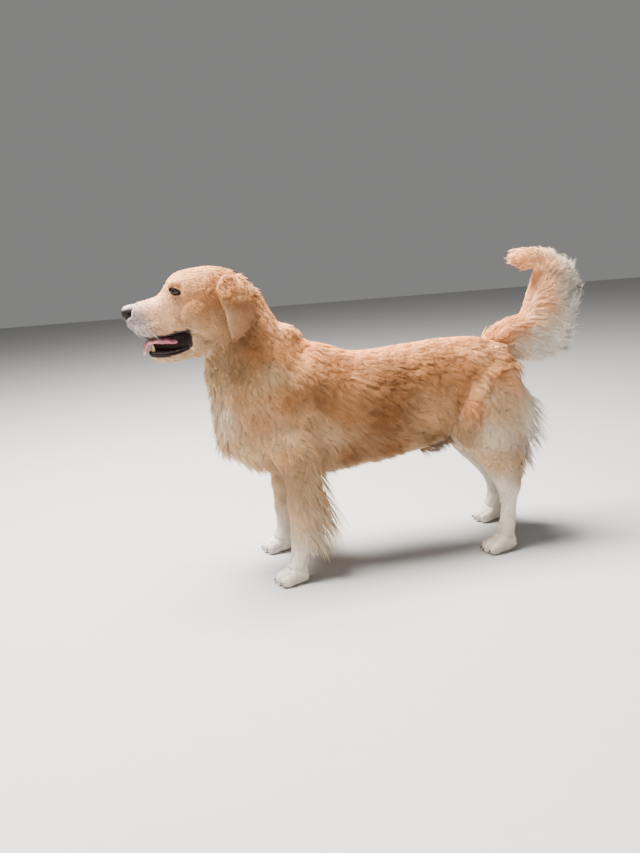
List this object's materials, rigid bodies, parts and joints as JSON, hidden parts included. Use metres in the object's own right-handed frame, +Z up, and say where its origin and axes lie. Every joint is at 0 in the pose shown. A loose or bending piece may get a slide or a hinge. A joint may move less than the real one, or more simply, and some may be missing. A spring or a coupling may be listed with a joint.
{
  "type": "golden retriever, standing still model",
  "caption": "Life-size still model of an adult golden retriever standing with raised plumed tail and open mouth.",
  "frame": {"origin": "on the floor, below the middle of the bounding box", "axes": "-X towards the nose, +X towards the tail, -Y to the dog's left, +Z up"},
  "size_m": [1.1728, 0.281, 0.7764],
  "materials": {
    "golden_coat": "soft wavy golden fur",
    "ear_coat": "reddish golden fur",
    "cream_coat": "long cream fur",
    "white_coat": "short white fur",
    "nose_leather": "moist black nose leather",
    "eye_glass": "glossy dark brown eye",
    "tongue_flesh": "moist pink tongue",
    "tooth_enamel": "ivory tooth enamel"
  },
  "bodies": {
    "root": {"head": "golden_coat", "neck": "golden_coat", "trunk": "golden_coat", "tail": "golden_coat", "jaw": "cream_coat", "ear_left": "ear_coat", "ear_right": "ear_coat", "eye_left": "eye_glass", "eye_right": "eye_glass", "nose": "nose_leather", "tongue": "tongue_flesh", "teeth": "tooth_enamel", "foreleg_left": "cream_coat", "foreleg_right": "cream_coat", "forepaw_left": "white_coat", "forepaw_right": "white_coat", "thigh_left": "cream_coat", "thigh_right": "cream_coat", "hock_left": "white_coat", "hock_right": "white_coat", "hindpaw_left": "white_coat", "hindpaw_right": "white_coat"}
  },
  "joints": []
}
